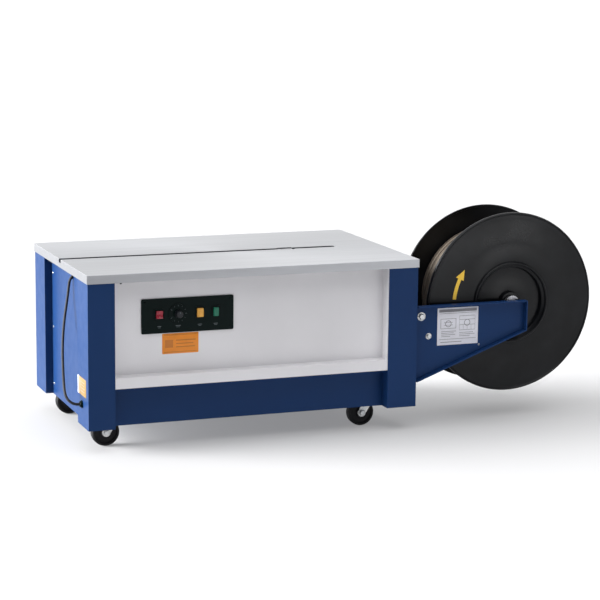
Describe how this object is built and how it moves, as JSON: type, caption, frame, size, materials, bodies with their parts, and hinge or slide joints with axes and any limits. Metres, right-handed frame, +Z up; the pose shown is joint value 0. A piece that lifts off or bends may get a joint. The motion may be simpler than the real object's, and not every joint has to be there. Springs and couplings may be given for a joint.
{
  "type": "semi-automatic strapping machine",
  "caption": "Low-table semi-automatic strapping machine on casters, with a slotted stainless table, a recessed control cover and a strap reel on two side arms.",
  "frame": {"origin": "on the floor, under the middle of the machine's bounding box without its power cord", "axes": "+X towards the strap reel, +Y towards the back, +Z up; the controls face -Y"},
  "size_m": [1.4813, 0.5727, 0.565],
  "materials": {
    "navy_paint": "semi-gloss powder coat",
    "cream_paint": "semi-gloss powder coat",
    "stainless": "brushed along its length",
    "panel_black": "satin",
    "rocker_red": "gloss",
    "knob_grey": "satin",
    "button_amber": "gloss",
    "button_green": "gloss",
    "label_paper": "satin",
    "zinc": "zinc plated",
    "caster_rubber": "matte",
    "steel": "ground",
    "reel_black": "gloss",
    "core_card": "matte",
    "strap": "satin",
    "seat_black": "satin",
    "guide_nylon": "satin",
    "pool_clear": "satin",
    "roller_rubber": "matte",
    "cast_grey": "as cast",
    "heater_steel": "heat tinted",
    "motor_blue": "semi-gloss",
    "belt_rubber": "matte"
  },
  "bodies": {
    "cabinet": {"base_pan": "navy_paint", "front_left_post": "navy_paint", "front_right_post": "navy_paint", "rear_posts": "navy_paint", "front_rail": "navy_paint", "rear_rail": "navy_paint", "front_cover": "cream_paint", "rear_cover": "navy_paint", "left_panel": "navy_paint", "right_panel": "navy_paint", "hinge_bases": "zinc", "control_panel": "panel_black", "control_bezels": "panel_black", "control_box": "seat_black", "labels": "label_paper", "cable_gland": "belt_rubber", "power_cord": "belt_rubber", "mains_box": "belt_rubber", "caster_plates": "zinc", "front_arm": "navy_paint", "rear_arm": "navy_paint", "arm_brackets": "navy_paint", "arm_bolts": "zinc", "shaft_seats": "seat_black", "reel_shaft": "steel", "strap_guide": "guide_nylon", "pool_box": "pool_clear", "feed_bracket": "seat_black", "head_frame": "cast_grey", "gearbox": "cast_grey", "drive_motor": "motor_blue", "drive_belt": "belt_rubber"},
    "table": {"table_top": "stainless", "hinge_leaves": "zinc"},
    "reel": {"front_flange": "reel_black", "rear_flange": "reel_black", "reel_core": "core_card", "strap_coil": "strap"},
    "rocker": {"power_rocker": "rocker_red"},
    "knob": {"timer_knob": "knob_grey"},
    "feed_push": {"feed_button": "button_amber"},
    "reset_push": {"reset_button": "button_green"},
    "slide": {"slide_plate": "steel"},
    "gripper_left": {"left_gripper": "steel"},
    "platen": {"press_platen": "steel"},
    "gripper_right": {"right_gripper": "steel"},
    "heater": {"heater_blade": "heater_steel"},
    "cams": {"cam_shaft": "steel"},
    "gearbox_wheel": {"gearbox_pulley": "steel"},
    "motor_wheel": {"motor_pulley": "steel"},
    "feed_wheel": {"feed_roller": "roller_rubber"},
    "pinch_wheel": {"pinch_roller": "steel"},
    "fork_1": {"caster_fork_1": "zinc"},
    "wheel_1": {"caster_wheel_1": "caster_rubber"},
    "fork_2": {"caster_fork_2": "zinc"},
    "wheel_2": {"caster_wheel_2": "caster_rubber"},
    "fork_3": {"caster_fork_3": "zinc"},
    "wheel_3": {"caster_wheel_3": "caster_rubber"},
    "fork_4": {"caster_fork_4": "zinc"},
    "wheel_4": {"caster_wheel_4": "caster_rubber"}
  },
  "joints": [
    {"name": "table_lift", "type": "hinge", "parent": "cabinet", "child": "table", "pos_m": [-0.27, 0.28265, 0.438], "axis": [-1, 0, 0], "range_deg": [0, 75]},
    {"name": "caster_swivel_1", "type": "hinge", "parent": "cabinet", "child": "fork_1", "pos_m": [-0.624, -0.19035, 0.09], "axis": [0, 0, 1], "continuous": true},
    {"name": "caster_roll_1", "type": "hinge", "parent": "fork_1", "child": "wheel_1", "pos_m": [-0.651, -0.19035, 0.0365], "axis": [0, 1, 0], "continuous": true},
    {"name": "caster_swivel_2", "type": "hinge", "parent": "cabinet", "child": "fork_2", "pos_m": [0.083, -0.19035, 0.09], "axis": [0, 0, 1], "continuous": true},
    {"name": "caster_roll_2", "type": "hinge", "parent": "fork_2", "child": "wheel_2", "pos_m": [0.056, -0.19035, 0.0365], "axis": [0, 1, 0], "continuous": true},
    {"name": "caster_swivel_3", "type": "hinge", "parent": "cabinet", "child": "fork_3", "pos_m": [-0.624, 0.18265, 0.09], "axis": [0, 0, 1], "continuous": true},
    {"name": "caster_roll_3", "type": "hinge", "parent": "fork_3", "child": "wheel_3", "pos_m": [-0.651, 0.18265, 0.0365], "axis": [0, 1, 0], "continuous": true},
    {"name": "caster_swivel_4", "type": "hinge", "parent": "cabinet", "child": "fork_4", "pos_m": [0.083, 0.18265, 0.09], "axis": [0, 0, 1], "continuous": true},
    {"name": "caster_roll_4", "type": "hinge", "parent": "fork_4", "child": "wheel_4", "pos_m": [0.056, 0.18265, 0.0365], "axis": [0, 1, 0], "continuous": true},
    {"name": "reel_spin", "type": "hinge", "parent": "cabinet", "child": "reel", "pos_m": [0.475, -0.14185, 0.32], "axis": [0, 1, 0], "continuous": true},
    {"name": "rocker_tip", "type": "hinge", "parent": "cabinet", "child": "rocker", "pos_m": [-0.5224, -0.24555, 0.345], "axis": [1, 0, 0], "range_deg": [-10, 10]},
    {"name": "timer_turn", "type": "hinge", "parent": "cabinet", "child": "knob", "pos_m": [-0.4723, -0.25385, 0.345], "axis": [0, -1, 0], "range_deg": [-150, 150]},
    {"name": "feed_press", "type": "slide", "parent": "cabinet", "child": "feed_push", "axis": [0, 1, 0], "range_m": [0, 0.003], "stiffness_N_per_m": 400},
    {"name": "reset_press", "type": "slide", "parent": "cabinet", "child": "reset_push", "axis": [0, 1, 0], "range_m": [0, 0.003], "stiffness_N_per_m": 400},
    {"name": "slide_back", "type": "slide", "parent": "cabinet", "child": "slide", "axis": [0, 1, 0], "range_m": [0, 0.025]},
    {"name": "gripper_left_rise", "type": "slide", "parent": "cabinet", "child": "gripper_left", "axis": [0, 0, 1], "range_m": [0, 0.005]},
    {"name": "platen_rise", "type": "slide", "parent": "cabinet", "child": "platen", "axis": [0, 0, 1], "range_m": [0, 0.005]},
    {"name": "gripper_right_rise", "type": "slide", "parent": "cabinet", "child": "gripper_right", "axis": [0, 0, 1], "range_m": [0, 0.005]},
    {"name": "heater_reach", "type": "slide", "parent": "cabinet", "child": "heater", "axis": [0, 1, 0], "range_m": [0, 0.022]},
    {"name": "motor_turn", "type": "hinge", "parent": "cabinet", "child": "motor_wheel", "pos_m": [-0.27, -0.00985, 0.175], "axis": [1, 0, 0], "continuous": true},
    {"name": "gearbox_turn", "type": "hinge", "parent": "cabinet", "child": "gearbox_wheel", "pos_m": [-0.27, -0.00985, 0.331], "axis": [1, 0, 0], "continuous": true},
    {"name": "cam_turn", "type": "hinge", "parent": "cabinet", "child": "cams", "pos_m": [-0.093, -0.00985, 0.331], "axis": [1, 0, 0], "continuous": true},
    {"name": "feed_turn", "type": "hinge", "parent": "cabinet", "child": "feed_wheel", "pos_m": [0.075, -0.14185, 0.322], "axis": [0, 1, 0], "continuous": true},
    {"name": "pinch_turn", "type": "hinge", "parent": "cabinet", "child": "pinch_wheel", "pos_m": [0.075, -0.14185, 0.3705], "axis": [0, 1, 0], "continuous": true}
  ],
  "couplings": [
    {"joint": "gearbox_turn", "follows": "motor_turn", "ratio": 0.48077},
    {"joint": "cam_turn", "follows": "motor_turn", "ratio": 0.024038},
    {"joint": "pinch_turn", "follows": "feed_turn", "ratio": -1.6667}
  ]
}
